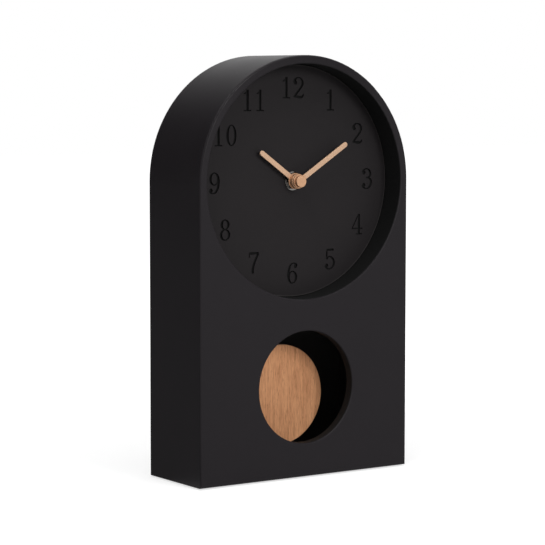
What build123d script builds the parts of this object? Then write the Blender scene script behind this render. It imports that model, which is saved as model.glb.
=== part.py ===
from build123d import *
import os
from math import acos, cos, hypot, pi, radians, sin, tan

# Desk pendulum clock, millimetres. X is to the right of someone facing the dial, Y runs from the front
# to the back, Z is up, and the origin is on the ground under the middle of the case.

# Case
case_width = 178.0
case_height = 299.0
case_depth = 68.0
foot_height = 1.0
foot_radius = 5.0
foot_inset = 12.0
panel_thickness = 7.0
frame_wall = 4.0
base_thickness = 8.0
edge_round = 1.5
hole_round = 1.0
glue_gap = 0.15

# Window for the pendulum, its rise counted from half way between the base board and the dial recess
window_radius = 40.1
window_rise = -3.3

# Dial, at the bottom of a round recess
rim_width = 6.0
recess_depth = 18.0
dial_thickness = 4.0
dial_spigot = 1.2
spigot_gap = 0.3
dial_edge_round = 0.5
numeral_height = 15.0
numeral_circle = 66.0
numeral_depth = 1.0
numeral_step = 10.7
stem_width = 2.0
hairline_width = 0.9
stroke_steps = 12

# Back panel, the strips that it is screwed to, and its screws
back_thickness = 3.0
back_inset = 1.0
back_gap = 0.3
batten_width = 10.0
batten_depth = 12.0
top_block_angle = 40.0
service_margin = 8.0
service_corner = 6.0
screw_head_radius = 3.0
screw_head_depth = 1.5
screw_shank_radius = 1.4
screw_length = 12.0
screw_tip = 2.5
screw_gap = 0.05
screw_end_margin = 18.0
recess_width = 0.8
recess_length = 3.2
recess_sink = 0.8

# Movement housing
shell = 1.5
rib = 1.2
housing_width = 60.0
housing_corner = 3.0
train_top = 27.0
train_bottom = 31.0
base_depth = 10.0
gasket_thickness = 1.0
gasket_radius = 11.0
neck_radius = 4.0
neck_proud = 0.4
neck_gap = 0.2
washer_radius = 6.7
washer_thickness = 0.5
nut_flats = 11.0
nut_thickness = 1.8

# Wheels: pressure angle and tooth heights in modules, then running gaps
pressure_angle = 28.0
tooth_addendum = 0.75
tooth_dedendum = 0.98
tooth_backlash = 0.07
gear_thickness = 1.0
pinion_overhang = 0.3
layer_gap = 1.0
end_float = 0.2
pivot_gap = 0.05
arbor_radius = 0.5
pivot_depth = 0.9

# Motion work: cannon pinion, minute wheel, hour wheel and setting pinion
motion_module = 0.4
cannon_teeth = 12
minute_wheel_teeth = 36
minute_pinion_teeth = 10
hour_wheel_teeth = 40
minute_wheel_angle = 200.0
setting_angle = 120.0
post_radius = 0.9

# Time train, from the slow centre wheel to the motor
train_module = 0.3
motor_module = 0.25
centre_teeth = 60
third_pinion_teeth = 8
third_teeth = 64
seconds_pinion_teeth = 8
seconds_teeth = 60
intermediate_pinion_teeth = 12
intermediate_teeth = 48
rotor_pinion_teeth = 8
third_angle = 60.0
intermediate_angle = -70.0
rotor_angle = -60.0
rotor_magnet_radius = 3.2
rotor_magnet_length = 3.0
centre_hub_radius = 2.4

# Arbors of the hands, and the hands
minute_arbor_radius = 1.3
hour_pipe_radius = 2.5
hand_gap = 0.4
hand_width = 3.7
hand_thickness = 1.0
hand_round = 0.25
hour_length = 36.8
hour_angle = 305.5
hour_plate_radius = 5.7
hour_collar_radius = 5.3
hour_hub_depth = 4.4
minute_length = 49.2
minute_angle = 57.7
minute_plate_radius = 4.9
minute_cap_radius = 4.1
minute_hub_depth = 3.6
hub_wall = 0.8

# Setting knob
knob_arbor_radius = 1.0
knob_radius = 6.0
knob_depth = 5.0
knob_flutes = 16
flute_radius = 0.6
knob_gap = 0.6

# Step motor and circuit
stator_gap = 0.5
stator_thickness = 1.0
stator_margin = 1.4
stator_span = 29.0
stator_leg = 3.2
core_radius = 1.0
bobbin_wall = 0.6
bobbin_flange_radius = 4.2
winding_radius = 3.5
coil_gap = 0.4
board_width = 10.0
board_height = 20.0
board_thickness = 1.0
crystal_radius = 1.0
crystal_length = 6.0

# Battery and its contacts
battery_length = 50.5
battery_radius = 7.25
battery_nub_radius = 2.75
battery_nub_length = 1.3
bay_gap = 0.4
contact_thickness = 0.4
contact_width = 8.0
contact_height = 9.0
contact_gap = 0.1
contact_space = 3.25

# Pendulum drive
drive_height = 32.0
pivot_drop = 6.0
coil_distance = 14.0
drive_coil_radius = 8.0
drive_coil_bore = 2.5
drive_coil_depth = 6.0
drive_flange = 0.8
pin_radius = 1.2
pin_head_radius = 2.4
pin_head_depth = 0.8
boss_radius = 3.0

# Pendulum
bob_radius = 36.6
bob_rise = 54.7
bob_thickness = 3.6
bob_setback = 33.6
bob_round = 0.5
rod_radius = 1.0
rod_gap = 0.1
eye_radius = 2.2
peg_radius = 1.0
peg_drop = 6.0
hanger_thickness = 4.0
hanger_gap = 0.8
hanger_width = 7.0
tongue_thickness = 0.8
magnet_radius = 4.0
magnet_wall = 1.5
clamp_width = 22.0
clamp_height = 36.0
clamp_wall = 1.2
clamp_screw_radius = 1.2
clamp_screw_head_radius = 2.4
clamp_screw_head_depth = 1.0
clamp_screw_offset = 6.5

# Places that follow from the sizes
front = -case_depth / 2
back = case_depth / 2
floor = foot_height
arch_radius = case_width / 2
arch_centre = floor + case_height - arch_radius
inner_radius = arch_radius - frame_wall
recess_radius = arch_radius - rim_width
panel_back = front + panel_thickness
base_top = floor + base_thickness
dial_front = front + recess_depth
dial_back = dial_front + dial_thickness
flange_front = dial_front + dial_spigot
back_front = back - back_inset - back_thickness
back_rear = back - back_inset
window_centre = (base_top + arch_centre - recess_radius) / 2 + window_rise
bob_centre = floor + bob_rise

housing_front = dial_back + gasket_thickness
floor_back = housing_front + shell
base_back = housing_front + base_depth
hour_layer = floor_back + end_float
minute_layer = hour_layer + gear_thickness + layer_gap
centre_layer = minute_layer + gear_thickness + layer_gap
third_layer = centre_layer + gear_thickness + layer_gap
seconds_layer = third_layer + gear_thickness + layer_gap
intermediate_layer = seconds_layer + gear_thickness + layer_gap
cover_inner = intermediate_layer + gear_thickness + layer_gap
cover_rear = cover_inner + shell

bay_top = arch_centre - train_bottom - rib
bay_bottom = bay_top - 2 * (battery_radius + bay_gap)
drive_top = bay_bottom - rib
drive_bottom = drive_top - drive_height
housing_bottom = drive_bottom - shell
housing_top = arch_centre + train_top + shell
bay_half = battery_length / 2 + contact_space
battery_height = (bay_top + bay_bottom) / 2
battery_axis = floor_back + battery_radius + contact_gap

bob_front = front + bob_setback
bob_back = bob_front + bob_thickness
rod_axis = bob_back + rod_gap + rod_radius
hanger_front = rod_axis - hanger_thickness / 2
hanger_back = rod_axis + hanger_thickness / 2
drive_rear = hanger_front - hanger_gap
pivot_height = drive_top - pivot_drop
magnet_height = pivot_height - coil_distance
peg_height = housing_bottom - peg_drop

neck_front = dial_front - washer_thickness - nut_thickness - neck_proud
hour_hub_back = neck_front - hand_gap
hour_hub_front = hour_hub_back - hour_hub_depth
minute_hub_back = hour_hub_front - hand_gap
minute_hub_front = minute_hub_back - minute_hub_depth


def slab(sketch, y_front, y_back):
    """Solid of an outline drawn in X and Z, from y_front back to y_back."""
    return extrude(Plane.XZ.offset(-y_back) * sketch, y_back - y_front)


def disc(place, radius, y_front, y_back):
    """Round solid along Y about a place in X and Z."""
    return slab(Pos(*place) * Circle(radius), y_front, y_back)


def tube(place, outer, inner, y_front, y_back):
    """Round solid along Y with a bore through it."""
    return disc(place, outer, y_front, y_back) - disc(place, inner, y_front, y_back)


def block(x_low, x_high, y_low, y_high, z_low, z_high):
    """Rectangular solid between two corners."""
    size = (x_high - x_low, y_high - y_low, z_high - z_low)
    return Pos(x_low, y_low, z_low) * Box(*size, align=(Align.MIN, Align.MIN, Align.MIN))


def arch(radius, bottom):
    """Outline with a flat bottom, straight sides and a half round top."""
    sides = Polyline((-radius, arch_centre), (-radius, bottom), (radius, bottom), (radius, arch_centre))
    top = ThreePointArc((radius, arch_centre), (0, arch_centre + radius), (-radius, arch_centre))
    return make_face([*sides.edges(), *top.edges()])


def polar(place, distance, angle):
    """Place at a distance and an angle, counted from X towards Z, from another place."""
    return place[0] + distance * cos(radians(angle)), place[1] + distance * sin(radians(angle))


def edges_at(solid, y):
    """Edges that lie in the plane at y."""
    return solid.edges().filter_by_position(Axis.Y, y, y, inclusive=(True, True))


# Wheels and pinions


def gear(teeth, module, phase):
    """Involute outline with a tooth at the angle phase, in degrees."""
    angle = radians(pressure_angle)
    pitch = teeth * module / 2
    base = pitch * cos(angle)
    root = pitch - tooth_dedendum * module
    tip = pitch + tooth_addendum * module
    start = max(base, root)
    steps = 3 if teeth > 20 else 5
    half_tooth = pi / (2 * teeth) - tooth_backlash / (4 * pitch)

    def half_angle(radius):
        roll = acos(base / radius)
        return half_tooth + tan(angle) - angle - tan(roll) + roll

    flank = [start + (tip - start) * step / (steps - 1) for step in range(steps)]
    side = [(radius, half_angle(radius)) for radius in flank]
    if root < base:
        side = [(root, half_angle(base)), *side]
    tooth = [(radius, -spread) for radius, spread in side] + side[::-1]
    turns = [radians(phase) + 2 * pi * number / teeth for number in range(teeth)]
    points = [(r * cos(turn + spread), r * sin(turn + spread)) for turn in turns for r, spread in tooth]
    return make_face(Polyline(*points, close=True))


def wheel(place, teeth, module, phase, y_front, y_back):
    """Toothed solid about a place."""
    return slab(Pos(*place) * gear(teeth, module, phase), y_front, y_back)


def meshed(teeth, phase, other_teeth, direction):
    """Phase of a second wheel in mesh with a first one, which lies the other way along direction."""
    turned = (direction - phase) * teeth / other_teeth
    return direction + 180 + 180 / other_teeth + turned


def pinion_span(layer):
    """Front and back of a pinion that meshes with a wheel in this layer."""
    return layer - pinion_overhang, layer + gear_thickness + pinion_overhang


def centre_distance(teeth, other_teeth, module):
    """Distance between two arbors in mesh."""
    return (teeth + other_teeth) * module / 2


centre = (0.0, arch_centre)
minute_distance = centre_distance(cannon_teeth, minute_wheel_teeth, motion_module)
hour_module = 2 * minute_distance / (minute_pinion_teeth + hour_wheel_teeth)
minute_place = polar(centre, minute_distance, minute_wheel_angle)
knob_place = polar(minute_place, minute_distance, setting_angle)
third_distance = centre_distance(centre_teeth, third_pinion_teeth, train_module)
third_module = 2 * third_distance / (third_teeth + seconds_pinion_teeth)
third_place = polar(centre, third_distance, third_angle)
intermediate_distance = centre_distance(seconds_teeth, intermediate_pinion_teeth, train_module)
intermediate_place = polar(centre, intermediate_distance, intermediate_angle)
rotor_distance = centre_distance(intermediate_teeth, rotor_pinion_teeth, motor_module)
rotor_place = polar(intermediate_place, rotor_distance, rotor_angle)
pivot_front = floor_back - pivot_depth
pivot_rear = cover_inner + pivot_depth

# Phases, so that every pair is in mesh at rest
minute_phase = meshed(cannon_teeth, 0, minute_wheel_teeth, minute_wheel_angle)
hour_phase = meshed(minute_pinion_teeth, 0, hour_wheel_teeth, minute_wheel_angle + 180)
setting_phase = meshed(minute_wheel_teeth, minute_phase, cannon_teeth, setting_angle)
third_pinion_phase = meshed(centre_teeth, 0, third_pinion_teeth, third_angle)
seconds_pinion_phase = meshed(third_teeth, 0, seconds_pinion_teeth, third_angle + 180)
intermediate_pinion_phase = meshed(seconds_teeth, 0, intermediate_pinion_teeth, intermediate_angle)
rotor_phase = meshed(intermediate_teeth, 0, rotor_pinion_teeth, rotor_angle)


# Numerals, drawn on a height of 1 with the pen thick on upright strokes and thin on level ones


def pen_stroke(points, swell=None):
    """Stroke along a smooth line; swell, if given, is the greatest width of a stroke thin at its ends."""
    line = Spline(*[(x * numeral_height, z * numeral_height) for x, z in points])
    left = []
    right = []
    for share in [step / stroke_steps for step in range(stroke_steps + 1)]:
        point = line @ share
        along = line % share
        if swell is None:
            width = hairline_width + (stem_width - hairline_width) * abs(along.Y) ** 1.5
        else:
            width = hairline_width + (swell - hairline_width) * sin(pi * share)
        aside = Vector(-along.Y, along.X) * (width / 2)
        left.append(point + aside)
        right.append(point - aside)
    outline = [Spline(*left), Line(left[-1], right[-1]), Spline(*right[::-1]), Line(right[0], left[0])]
    return make_face([edge for piece in outline for edge in piece.edges()])


def bowl(x, z, wide, high):
    """Oval ring, thick at the sides and thin at the top and bottom."""
    wide_radius = wide * numeral_height
    high_radius = high * numeral_height
    inside = Ellipse(wide_radius - stem_width, high_radius - hairline_width)
    return Pos(x * numeral_height, z * numeral_height) * (Ellipse(wide_radius, high_radius) - inside)


def ball(x, z):
    """Round end of a stroke."""
    return Pos(x * numeral_height, z * numeral_height) * Circle(0.7 * stem_width)


def stem(x, z_low, z_high):
    """Thick upright stroke."""
    height = (z_high - z_low) * numeral_height
    middle = (z_high + z_low) / 2 * numeral_height
    return Pos(x * numeral_height, middle) * Rectangle(stem_width, height)


def bar(x_low, x_high, z, width):
    """Level stroke."""
    length = (x_high - x_low) * numeral_height
    middle = (x_high + x_low) / 2 * numeral_height
    return Pos(middle, z * numeral_height + width / 2) * Rectangle(length, width)


def digit(value):
    """Faces of one digit, about its upright middle line and from its foot up."""
    if value == 0:
        return [bowl(0, 0.5, 0.285, 0.5)]
    if value == 1:
        flag = pen_stroke([(-0.2, 0.81), (-0.08, 0.87), (0.02, 0.97)], stem_width * 0.6)
        return [stem(0, 0, 1), bar(-0.21, 0.21, 0, hairline_width), flag]
    if value == 2:
        top = pen_stroke([(-0.25, 0.74), (-0.19, 0.91), (0.01, 0.975),
                          (0.21, 0.77), (0.05, 0.43), (-0.26, 0.06)])
        foot = pen_stroke([(-0.26, 0.06), (-0.08, 0.075), (0.14, 0.06), (0.27, 0.2)], stem_width)
        return [top, foot, ball(-0.19, 0.745)]
    if value == 3:
        top = pen_stroke([(-0.25, 0.8), (-0.18, 0.93), (0.0, 0.975), (0.19, 0.77), (-0.06, 0.55)])
        bottom = pen_stroke([(-0.06, 0.55), (0.235, 0.29), (0.0, 0.025), (-0.2, 0.08), (-0.265, 0.2)])
        return [top, bottom, ball(-0.18, 0.79), ball(-0.195, 0.2)]
    if value == 4:
        slope = pen_stroke([(0.08, 0.985), (-0.11, 0.64), (-0.3, 0.295)], hairline_width)
        foot = bar(-0.08, 0.3, 0, hairline_width)
        return [stem(0.11, 0, 1), slope, bar(-0.325, 0.32, 0.27, hairline_width), foot]
    if value == 5:
        body = pen_stroke([(-0.265, 0.19), (-0.19, 0.07), (0.0, 0.025),
                           (0.23, 0.31), (0.01, 0.61), (-0.2, 0.5)])
        neck = pen_stroke([(-0.2, 0.49), (-0.19, 0.72), (-0.18, 0.96)], stem_width * 0.7)
        flag = bar(-0.205, 0.215, 0.89, stem_width * 0.8)
        return [body, neck, flag, ball(-0.195, 0.19)]
    if value == 6:
        tail = pen_stroke([(0.24, 0.84), (0.17, 0.95), (0.03, 0.975), (-0.2, 0.68), (-0.225, 0.32)])
        return [bowl(0, 0.31, 0.28, 0.31), tail, ball(0.18, 0.83)]
    if value == 7:
        top = bar(-0.27, 0.275, 0.9, stem_width * 0.85)
        corner = pen_stroke([(-0.25, 0.77), (-0.25, 0.86), (-0.25, 0.95)], hairline_width)
        leg = pen_stroke([(0.24, 0.92), (0.08, 0.62), (-0.04, 0.3), (-0.06, 0.0)])
        return [top, corner, leg]
    if value == 8:
        return [bowl(0, 0.755, 0.25, 0.245), bowl(0, 0.275, 0.29, 0.275)]
    upside_down = Pos(0, numeral_height) * Rot(0, 0, 180)
    return [upside_down * face for face in digit(6)]


def numeral(hour):
    """Faces of an upright numeral at its place on the dial."""
    digits = [int(figure) for figure in str(hour)]
    across, up = polar(centre, numeral_circle, 90 - 30 * hour)
    faces = []
    for number, value in enumerate(digits):
        aside = (number - (len(digits) - 1) / 2) * numeral_step
        place = Pos(across + aside, up - numeral_height / 2)
        faces.extend(place * face for face in digit(value))
    return faces


# Case


def make_front_panel():
    holes = Pos(*centre) * Circle(recess_radius) + Pos(0, window_centre) * Circle(window_radius)
    panel = slab(arch(arch_radius, floor) - holes, front, panel_back)
    face = panel.faces().sort_by(Axis.Y)[0]
    panel = fillet(face.outer_wire().edges(), edge_round)
    rims = [edge for edge in edges_at(panel, front) if edge.geom_type == GeomType.CIRCLE and edge.is_closed]
    return fillet(rims, hole_round)


def make_side_frame():
    outline = arch(arch_radius, floor) - arch(inner_radius, floor - frame_wall)
    frame = slab(outline, panel_back, back)
    outer = [edge for edge in edges_at(frame, back) if edge_reach(edge) > inner_radius + frame_wall / 2]
    return fillet(outer, edge_round)


def edge_reach(edge):
    """Distance of an edge's middle from the arch's centre or, lower down, from the upright middle line."""
    middle = edge @ 0.5
    return hypot(middle.X, max(middle.Z - arch_centre, 0))


def make_base_board():
    return block(-inner_radius, inner_radius, panel_back, back, floor, base_top)


def make_dial_collar():
    return tube(centre, inner_radius - glue_gap, recess_radius, panel_back, flange_front)


def make_dial_plate():
    plate = disc(centre, inner_radius - spigot_gap, flange_front, dial_back)
    plate += disc(centre, recess_radius - spigot_gap, dial_front, flange_front)
    plate = fillet(edges_at(plate, dial_front), dial_edge_round)
    plate -= disc(centre, neck_radius + neck_gap, dial_front, dial_back)
    for hour in range(1, 13):
        for face in numeral(hour):
            plate -= slab(face, dial_front, dial_front + numeral_depth)
    return plate


def make_foot_pads():
    across = inner_radius - foot_inset
    along = back - foot_inset
    pads = [Pos(x, y, foot_height / 2) * Cylinder(foot_radius, foot_height)
            for x in (-across, across) for y in (-along, along)]
    return Compound(children=pads)


batten_front = back_front - batten_depth
batten_middle = inner_radius - batten_width / 2
screw_low = base_top + screw_end_margin
screw_high = arch_centre - screw_end_margin
screw_places = [(side * batten_middle, height) for side in (-1, 1)
                for height in (screw_low, (screw_low + screw_high) / 2, screw_high)]
screw_places.append((0.0, arch_centre + batten_middle))


def screw_solid(gap):
    """Countersunk wood screw along Y, its head flush with the back panel, grown by a gap."""
    tip = back_rear - screw_length
    head = screw_head_radius + gap
    shank = screw_shank_radius + gap
    outline = [(0, back_rear), (head, back_rear), (shank, back_rear - screw_head_depth),
               (shank, tip + screw_tip), (0, tip - gap)]
    return revolve(make_face(Polyline(*outline, close=True)), Axis.Y)


def at_screws(solid):
    """Copies of a solid at every screw of the back panel."""
    return [Pos(x, 0, z) * solid for x, z in screw_places]


def make_back_battens():
    outer = inner_radius - glue_gap
    inner = inner_radius - batten_width
    side = block(inner, outer, batten_front, back_front, base_top, arch_centre)
    ring = tube(centre, outer, inner, batten_front, back_front)
    reach = 2 * inner_radius
    half = radians(top_block_angle / 2)
    corners = [(0, arch_centre), (reach * sin(half), arch_centre + reach * cos(half)),
               (-reach * sin(half), arch_centre + reach * cos(half))]
    wedge = slab(make_face(Polyline(*corners, close=True)), batten_front, back_front)
    pieces = [side, mirror(side, Plane.YZ), ring & wedge]
    drill = at_screws(screw_solid(screw_gap))
    return Compound(children=[(piece - drill).solid() for piece in pieces])


def make_back_panel():
    panel = slab(arch(inner_radius - back_gap, base_top + back_gap), back_front, back_rear)
    low = peg_height - service_margin
    high = housing_top + service_margin
    opening = RectangleRounded(housing_width + 2 * service_margin, high - low, service_corner)
    panel -= slab(Pos(0, (low + high) / 2) * opening, back_front, back_rear)
    return panel - at_screws(screw_solid(screw_gap))


def make_back_panel_screws():
    slot = Pos(0, back_rear - recess_sink / 2, 0) * Box(recess_width, recess_sink, recess_length)
    screw = screw_solid(0) - slot - Rot(0, 90, 0) * slot
    return Compound(children=[copy.solid() for copy in at_screws(screw)])


# Movement housing and what clamps it to the dial

half_width = housing_width / 2
inner_half = half_width - shell


def rounded(z_low, z_high):
    """Outline of the housing between two heights."""
    outline = RectangleRounded(housing_width, z_high - z_low, housing_corner)
    return Pos(0, (z_low + z_high) / 2) * outline


def bay(half, z_low, z_high):
    """Inside outline of one bay of the housing."""
    return Pos(0, (z_low + z_high) / 2) * Rectangle(2 * half, z_high - z_low)


def make_movement_base():
    base = slab(rounded(housing_bottom, housing_top), housing_front, base_back)
    base += slab(bay(bay_half + shell, drive_top, bay_top + rib), housing_front, base_back)
    base -= slab(bay(inner_half, arch_centre - train_bottom, arch_centre + train_top), floor_back, base_back)
    base -= slab(bay(bay_half, bay_bottom, bay_top), floor_back, base_back)
    base -= slab(bay(inner_half, drive_bottom, drive_top), floor_back, base_back)
    for side in (-bay_half - shell, bay_half):
        base += block(side, side + shell, base_back, cover_rear, bay_bottom, bay_top)
    base += disc(centre, neck_radius, neck_front, housing_front)
    base -= disc(centre, hour_pipe_radius + pivot_gap, neck_front, floor_back)
    base += disc(minute_place, post_radius, floor_back, minute_layer + gear_thickness)
    for place in (third_place, intermediate_place, rotor_place):
        base -= disc(place, arbor_radius + pivot_gap, pivot_front - pivot_gap, floor_back)
    return base - disc(knob_place, knob_arbor_radius + pivot_gap, pivot_front - pivot_gap, floor_back)


def make_movement_cover():
    low = arch_centre - train_bottom - rib
    cover = slab(rounded(low, housing_top), base_back, cover_rear)
    inside = bay(inner_half, arch_centre - train_bottom, arch_centre + train_top)
    cover -= slab(inside, base_back, cover_inner)
    for place in (centre, third_place, intermediate_place, rotor_place):
        cover -= disc(place, arbor_radius + pivot_gap, cover_inner, pivot_rear + pivot_gap)
    return cover - disc(knob_place, knob_arbor_radius + pivot_gap, cover_inner, cover_rear)


pivot_place = (0.0, pivot_height)
magnet_place = (0.0, magnet_height)
peg_place = (0.0, peg_height)


def make_drive_cover():
    cover = slab(rounded(housing_bottom, drive_top + rib), base_back, drive_rear)
    cover += disc(pivot_place, boss_radius, drive_rear, hanger_front - end_float)
    return cover - disc(pivot_place, pin_radius + pivot_gap, base_back, hanger_front - end_float)


def make_hanger_pin():
    head = hanger_back + end_float
    pin = disc(pivot_place, pin_radius, base_back, head)
    return pin + disc(pivot_place, pin_head_radius, head, head + pin_head_depth)


def make_rubber_gasket():
    return tube(centre, gasket_radius, neck_radius + neck_gap, dial_back, housing_front)


def make_dial_washer():
    return tube(centre, washer_radius, neck_radius + neck_gap, dial_front - washer_thickness, dial_front)


def make_hand_nut():
    nut_back = dial_front - washer_thickness
    nut_front = nut_back - nut_thickness
    corner = nut_flats / 2 / cos(pi / 6)
    hexagon = slab(Pos(*centre) * RegularPolygon(corner, 6), nut_front, nut_back)
    return hexagon - disc(centre, neck_radius + pivot_gap, nut_front, nut_back)


# Motion work, hands and setting knob


def make_minute_arbor():
    rear = third_layer - pinion_overhang - end_float
    arbor = disc(centre, minute_arbor_radius, minute_hub_front + hub_wall, rear)
    arbor += wheel(centre, cannon_teeth, motion_module, 0, *pinion_span(minute_layer))
    return arbor - disc(centre, arbor_radius + pivot_gap, rear - pivot_depth - pivot_gap, rear)


def make_minute_wheel():
    whole = wheel(minute_place, minute_wheel_teeth, motion_module, minute_phase,
                  minute_layer, minute_layer + gear_thickness)
    whole += wheel(minute_place, minute_pinion_teeth, hour_module, 0, hour_layer, minute_layer)
    return whole - disc(minute_place, post_radius + pivot_gap, hour_layer, minute_layer + gear_thickness)


def make_hour_wheel():
    rear = hour_layer + gear_thickness
    whole = wheel(centre, hour_wheel_teeth, hour_module, hour_phase, hour_layer, rear)
    whole += disc(centre, hour_pipe_radius, hour_hub_front, hour_layer)
    return whole - disc(centre, minute_arbor_radius + pivot_gap, hour_hub_front, rear)


def hand(length, angle, plate_radius, collar_radius, y_front, y_back):
    """Round ended flat bar with a round plate, at an angle clockwise from the top, behind a collar."""
    plate_front = y_back - hand_thickness
    middle = polar(centre, (length - hand_width / 2) / 2, 90 - angle)
    strip = SlotCenterToCenter(length - hand_width / 2, hand_width, rotation=90 - angle)
    flat = slab(Pos(*middle) * strip, plate_front, y_back) + disc(centre, plate_radius, plate_front, y_back)
    flat = fillet(edges_at(flat, plate_front), hand_round)
    collar = disc(centre, collar_radius, y_front, plate_front)
    return flat + fillet(edges_at(collar, y_front), hand_round)


def make_hour_hand():
    whole = hand(hour_length, hour_angle, hour_plate_radius, hour_collar_radius,
                 hour_hub_front, hour_hub_back)
    return whole - disc(centre, hour_pipe_radius + pivot_gap, hour_hub_front, hour_hub_back)


def make_minute_hand():
    whole = hand(minute_length, minute_angle, minute_plate_radius, minute_cap_radius,
                 minute_hub_front, minute_hub_back)
    bore = minute_arbor_radius + pivot_gap
    return whole - disc(centre, bore, minute_hub_front + hub_wall, minute_hub_back)


def make_set_knob():
    knob_front = cover_rear + knob_gap
    knob_back = knob_front + knob_depth
    knob = disc(knob_place, knob_radius, knob_front, knob_back)
    knob = fillet(edges_at(knob, knob_back), hand_round)
    for number in range(knob_flutes):
        rim = polar(knob_place, knob_radius, 360 * number / knob_flutes)
        knob -= disc(rim, flute_radius, knob_front, knob_back)
    knob += disc(knob_place, knob_arbor_radius, pivot_front, knob_front)
    return knob + wheel(knob_place, cannon_teeth, motion_module, setting_phase, *pinion_span(minute_layer))


# Time train


def make_centre_wheel():
    rear = centre_layer + gear_thickness
    whole = wheel(centre, centre_teeth, train_module, 0, centre_layer, rear)
    whole += disc(centre, centre_hub_radius, *pinion_span(centre_layer))
    return whole - disc(centre, minute_arbor_radius + pivot_gap, *pinion_span(centre_layer))


def make_third_wheel():
    rear = third_layer + gear_thickness
    whole = disc(third_place, arbor_radius, pivot_front, pivot_rear)
    whole += wheel(third_place, third_pinion_teeth, train_module, third_pinion_phase,
                   *pinion_span(centre_layer))
    return whole + wheel(third_place, third_teeth, third_module, 0, third_layer, rear)


def make_seconds_wheel():
    front_end = third_layer - pinion_overhang - end_float - pivot_depth
    rear = seconds_layer + gear_thickness
    whole = disc(centre, arbor_radius, front_end, pivot_rear)
    whole += wheel(centre, seconds_pinion_teeth, third_module, seconds_pinion_phase,
                   *pinion_span(third_layer))
    return whole + wheel(centre, seconds_teeth, train_module, 0, seconds_layer, rear)


def make_intermediate_wheel():
    whole = disc(intermediate_place, arbor_radius, pivot_front, pivot_rear)
    whole += wheel(intermediate_place, intermediate_pinion_teeth, train_module, intermediate_pinion_phase,
                   *pinion_span(seconds_layer))
    rear = intermediate_layer + gear_thickness
    return whole + wheel(intermediate_place, intermediate_teeth, motor_module, 0, intermediate_layer, rear)


stator_front = third_layer
stator_back = stator_front + stator_thickness
magnet_middle = (stator_front + stator_back) / 2


def make_rotor():
    half = rotor_magnet_length / 2
    whole = disc(rotor_place, arbor_radius, pivot_front, pivot_rear)
    whole += disc(rotor_place, rotor_magnet_radius, magnet_middle - half, magnet_middle + half)
    return whole + wheel(rotor_place, rotor_pinion_teeth, motor_module, rotor_phase,
                         *pinion_span(intermediate_layer))


# Step motor and circuit

stator_hole = rotor_magnet_radius + stator_gap
stator_top = rotor_place[1] + stator_hole + stator_margin
stator_bar_bottom = rotor_place[1] - stator_hole - stator_margin
coil_height = stator_bar_bottom - coil_gap - bobbin_flange_radius
stator_left = rotor_place[0] + stator_hole + stator_leg - stator_span
stator_right = stator_left + stator_span
core_left = stator_left + stator_leg
core_right = stator_right - stator_leg


def make_motor_stator():
    bottom = coil_height - core_radius
    whole = block(stator_left, stator_right, stator_front, stator_back, bottom, stator_top)
    whole -= block(core_left, core_right, stator_front, stator_back, bottom, stator_bar_bottom)
    return whole - disc(rotor_place, stator_hole, stator_front, stator_back)


def level_tube(outer, inner, x_low, x_high):
    """Round solid along X on the motor coil's line, with a bore."""
    length = x_high - x_low
    solid = Cylinder(outer, length) - Cylinder(inner, length) if inner else Cylinder(outer, length)
    return Pos((x_low + x_high) / 2, magnet_middle, coil_height) * Rot(0, 90, 0) * solid


def make_motor_core():
    return level_tube(core_radius, 0, core_left, core_right)


bobbin_left = core_left + bobbin_wall
bobbin_right = core_right - bobbin_wall
spool_radius = core_radius + pivot_gap + bobbin_wall


def make_motor_bobbin():
    bore = core_radius + pivot_gap
    whole = level_tube(spool_radius, bore, bobbin_left, bobbin_right)
    whole += level_tube(bobbin_flange_radius, bore, bobbin_left, bobbin_left + bobbin_wall)
    return whole + level_tube(bobbin_flange_radius, bore, bobbin_right - bobbin_wall, bobbin_right)


def make_motor_winding():
    low = bobbin_left + bobbin_wall
    high = bobbin_right - bobbin_wall
    return level_tube(winding_radius, spool_radius + pivot_gap, low, high)


board_back = floor_back + board_thickness
board_bottom = arch_centre - train_bottom


def make_circuit_board():
    top = board_bottom + board_height
    return block(-inner_half, board_width - inner_half, floor_back, board_back, board_bottom, top)


def make_quartz_crystal():
    place = Pos(board_width / 2 - inner_half, board_back + crystal_radius, board_bottom + board_height / 2)
    return place * Cylinder(crystal_radius, crystal_length)


# Battery and contacts

battery_left = -battery_length / 2
battery_right = battery_length / 2


def make_battery():
    shoulder = battery_right - battery_nub_length
    body = Cylinder(battery_radius, shoulder - battery_left)
    whole = Pos((shoulder + battery_left) / 2, 0, 0) * Rot(0, 90, 0) * body
    whole = fillet(whole.edges(), hole_round)
    nub = Cylinder(battery_nub_radius, battery_nub_length)
    whole += Pos(battery_right - battery_nub_length / 2, 0, 0) * Rot(0, 90, 0) * nub
    return Pos(0, battery_axis, battery_height) * whole


contact_low = battery_height - contact_width / 2
contact_high = battery_height + contact_width / 2
contact_front = battery_axis - contact_height / 2
contact_rear = battery_axis + contact_height / 2


def make_contact_positive():
    touch = battery_right + contact_gap
    bend = contact_front + contact_thickness
    plate = block(touch, touch + contact_thickness, contact_front, contact_rear, contact_low, contact_high)
    foot = block(touch, bay_half, contact_front, bend, contact_low, contact_high)
    return plate + foot


def make_contact_negative():
    """Strip bowed from the end wall to the flat end of the battery."""
    wall = -bay_half
    touch = battery_left - contact_gap
    near = ThreePointArc((wall, contact_front), (touch, battery_axis), (wall, contact_rear))
    inner_front = contact_front + contact_thickness
    inner_rear = contact_rear - contact_thickness
    far = ThreePointArc((wall, inner_rear), (touch - contact_thickness, battery_axis), (wall, inner_front))
    rear_end = Line((wall, contact_rear), (wall, inner_rear))
    front_end = Line((wall, inner_front), (wall, contact_front))
    outline = make_face([edge for piece in (near, rear_end, far, front_end) for edge in piece.edges()])
    return extrude(Plane.XY.offset(contact_low) * outline, contact_width)


# Pendulum drive and pendulum

drive_coil_rear = floor_back + drive_coil_depth


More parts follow.
